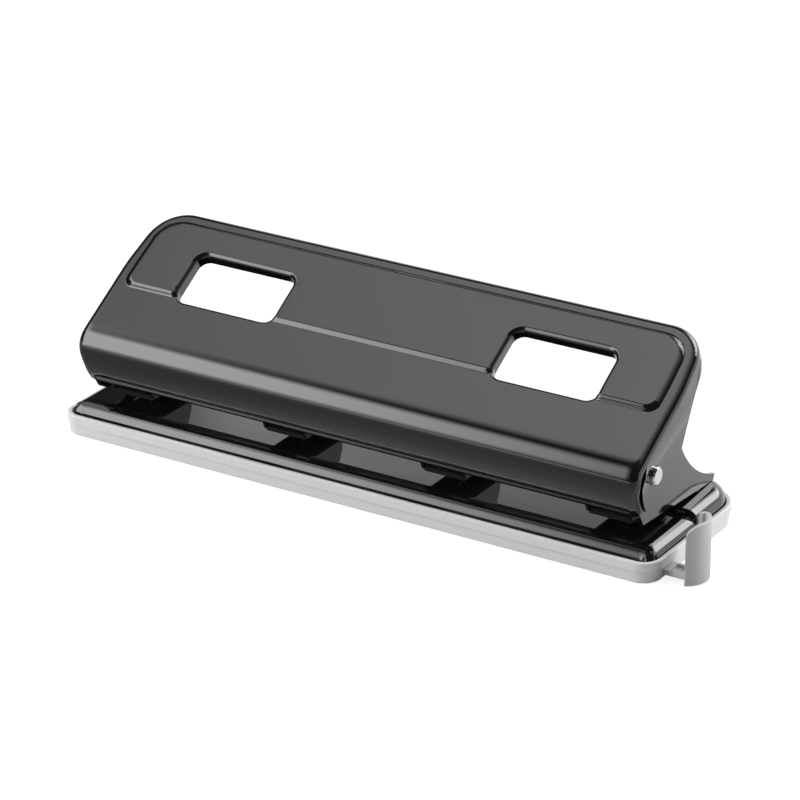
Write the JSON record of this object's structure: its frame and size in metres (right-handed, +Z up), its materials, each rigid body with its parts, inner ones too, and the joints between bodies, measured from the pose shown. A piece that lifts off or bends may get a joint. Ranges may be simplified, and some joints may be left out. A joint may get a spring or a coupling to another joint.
{
  "type": "four-hole punch",
  "caption": "Desktop paper punch: wide pressed-steel lever handle with windows on a black steel base, plastic chip tray below and a sliding paper guide at the end.",
  "frame": {"origin": "centre of the tray's flat underside", "axes": "+X along the length to the right, towards the paper guide; +Y away from the paper entry; +Z up"},
  "size_m": [0.3147, 0.0834, 0.086],
  "materials": {
    "tray_plastic": "light grey moulded plastic, fine satin",
    "black_lacquer": "gloss black stove lacquer on steel sheet",
    "bright_rod": "bright plated steel rod",
    "plain_steel": "plain hardened and zinc-plated steel",
    "guide_plastic": "mid grey moulded plastic"
  },
  "bodies": {
    "base": {"chip_tray": "tray_plastic", "bar_channel": "tray_plastic", "base_plate": "black_lacquer", "right_cheek": "black_lacquer", "left_cheek": "black_lacquer", "cheek_rivets": "plain_steel", "frame_rivets": "plain_steel", "pivot_rod": "bright_rod", "rod_clips": "plain_steel", "punch_frame_1": "black_lacquer", "punch_frame_2": "black_lacquer", "punch_frame_3": "black_lacquer", "punch_frame_4": "black_lacquer", "die_1": "plain_steel", "die_2": "plain_steel", "die_3": "plain_steel", "die_4": "plain_steel", "punch_spring_1": "plain_steel", "punch_spring_2": "plain_steel", "punch_spring_3": "plain_steel", "punch_spring_4": "plain_steel"},
    "handle": {"handle_shell": "black_lacquer", "press_rod": "plain_steel", "rod_hanger_1": "black_lacquer", "rod_hanger_2": "black_lacquer", "rod_hanger_3": "black_lacquer", "rod_hanger_4": "black_lacquer"},
    "punch_1": {"punch_pin_1": "plain_steel", "pin_clip_1": "plain_steel"},
    "punch_2": {"punch_pin_2": "plain_steel", "pin_clip_2": "plain_steel"},
    "punch_3": {"punch_pin_3": "plain_steel", "pin_clip_3": "plain_steel"},
    "punch_4": {"punch_pin_4": "plain_steel", "pin_clip_4": "plain_steel"},
    "guide": {"paper_guide": "guide_plastic"}
  },
  "joints": [
    {"name": "handle_hinge", "type": "hinge", "parent": "base", "child": "handle", "pos_m": [0, -0.0235, 0.0413], "axis": [-1, 0, 0], "range_deg": [0, 24], "stiffness_Nm_per_rad": 0.5, "springref_deg": -34.38},
    {"name": "punch_slide_1", "type": "slide", "parent": "base", "child": "punch_1", "axis": [0, 0, -1], "range_m": [0, 0.0058], "deforming": ["punch_spring_1"]},
    {"name": "punch_slide_2", "type": "slide", "parent": "base", "child": "punch_2", "axis": [0, 0, -1], "range_m": [0, 0.0058], "deforming": ["punch_spring_2"]},
    {"name": "punch_slide_3", "type": "slide", "parent": "base", "child": "punch_3", "axis": [0, 0, -1], "range_m": [0, 0.0058], "deforming": ["punch_spring_3"]},
    {"name": "punch_slide_4", "type": "slide", "parent": "base", "child": "punch_4", "axis": [0, 0, -1], "range_m": [0, 0.0058], "deforming": ["punch_spring_4"]},
    {"name": "guide_slide", "type": "slide", "parent": "base", "child": "guide", "axis": [1, 0, 0], "range_m": [-0.007, 0.045]}
  ],
  "couplings": [
    {"joint": "punch_slide_1", "follows": "handle_hinge", "m_per_rad": 0.0135},
    {"joint": "punch_slide_2", "follows": "handle_hinge", "m_per_rad": 0.0135},
    {"joint": "punch_slide_3", "follows": "handle_hinge", "m_per_rad": 0.0135},
    {"joint": "punch_slide_4", "follows": "handle_hinge", "m_per_rad": 0.0135}
  ]
}
